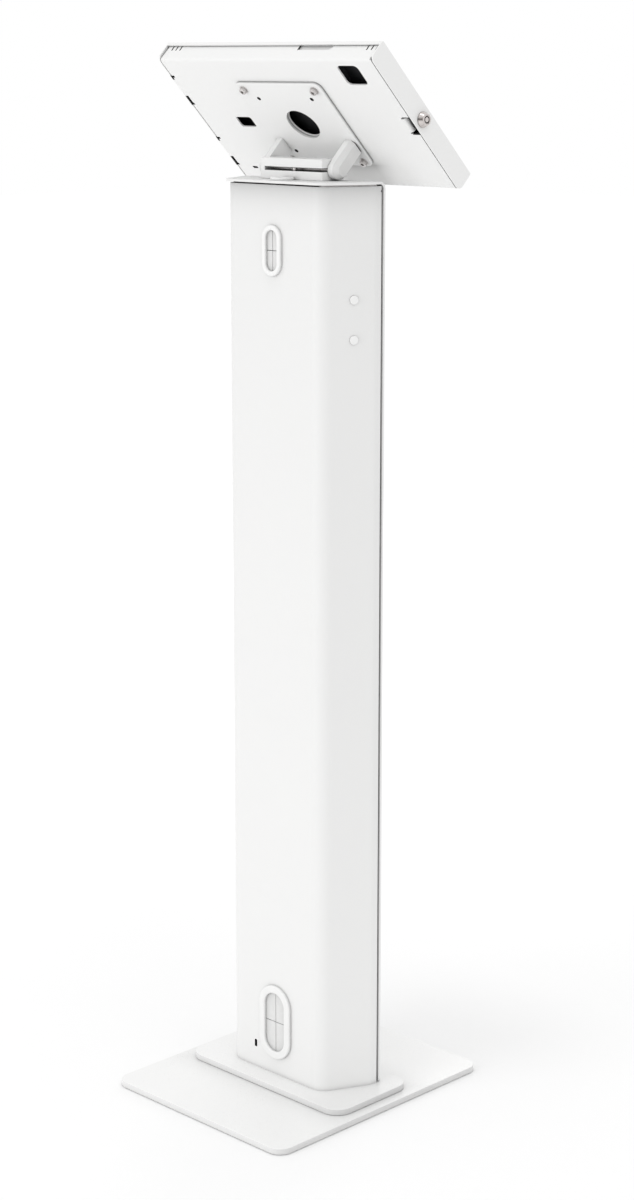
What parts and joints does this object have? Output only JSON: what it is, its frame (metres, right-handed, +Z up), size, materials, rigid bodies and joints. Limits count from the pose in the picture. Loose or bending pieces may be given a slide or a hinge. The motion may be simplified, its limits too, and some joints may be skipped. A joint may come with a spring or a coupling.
{
  "type": "tablet kiosk floor stand",
  "caption": "White floor stand for a tablet: lockable tilting enclosure on a folded steel column with rear cable grommets and a flat base plate.",
  "frame": {"origin": "centre of the base's underside, on the floor", "axes": "+Z up, screen towards -Y, cable grommets on the +Y side"},
  "size_m": [0.3077, 0.308, 1.1066],
  "materials": {
    "painted_white": "satin powder coat",
    "white_plastic": "fine moulded texture",
    "grommet_rubber": "matte",
    "black_rubber": "matte",
    "black_foam": "closed-cell foam",
    "screw_steel": "machined",
    "zinc_steel": "zinc plated",
    "brass_insert": "machined",
    "lock_nickel": "polished nickel",
    "tablet_shell": "satin",
    "tablet_glass": "polished"
  },
  "bodies": {
    "stand": {"base_mat": "black_rubber", "base_plate": "painted_white", "base_gasket": "black_rubber", "flange_plate": "painted_white", "base_screws": "screw_steel", "column_body": "painted_white", "front_cover": "painted_white", "cover_hooks": "zinc_steel", "lid_bracket": "zinc_steel", "upper_grommet_ring": "white_plastic", "upper_grommet_flaps": "grommet_rubber", "lower_grommet_ring": "white_plastic", "lower_grommet_flaps": "grommet_rubber", "side_hole_plugs": "white_plastic", "lid_hole_plug": "white_plastic", "hinge_block": "painted_white", "clamp_screw": "screw_steel", "hinge_block_screws": "screw_steel"},
    "head": {"tilt_axle": "screw_steel", "axle_washers": "grommet_rubber", "left_arm": "painted_white", "right_arm": "painted_white", "left_arm_cover": "white_plastic", "right_arm_cover": "white_plastic", "arm_screws": "screw_steel", "mounting_plate": "painted_white", "plate_washers": "zinc_steel", "plate_screws": "screw_steel", "plate_inserts": "brass_insert", "rear_tray": "painted_white", "lock_strike": "painted_white", "tablet_body": "tablet_shell", "tablet_screen": "tablet_glass", "tablet_foam_pads": "black_foam", "left_tablet_bracket": "zinc_steel", "right_tablet_bracket": "zinc_steel"},
    "bezel_door": {"front_bezel": "painted_white", "bezel_foam_ring": "black_foam", "lock_housing": "lock_nickel", "lock_nut": "zinc_steel"},
    "lock_barrel_body": {"lock_barrel": "lock_nickel", "lock_cam": "zinc_steel", "cam_screw": "screw_steel"}
  },
  "joints": [
    {"name": "head_tilt", "type": "hinge", "parent": "stand", "child": "head", "pos_m": [0, -0.0082, 0.9824], "axis": [1, 0, 0], "range_deg": [-45, 45]},
    {"name": "bezel_open", "type": "hinge", "parent": "head", "child": "bezel_door", "pos_m": [0.15035, -0.01248, 1.02741], "axis": [0, 0.7071, 0.7071], "range_deg": [0, 100]},
    {"name": "lock_turn", "type": "hinge", "parent": "bezel_door", "child": "lock_barrel_body", "pos_m": [-0.15, -0.02086, 1.0331], "axis": [1, 0, 0], "range_deg": [0, 90]}
  ]
}
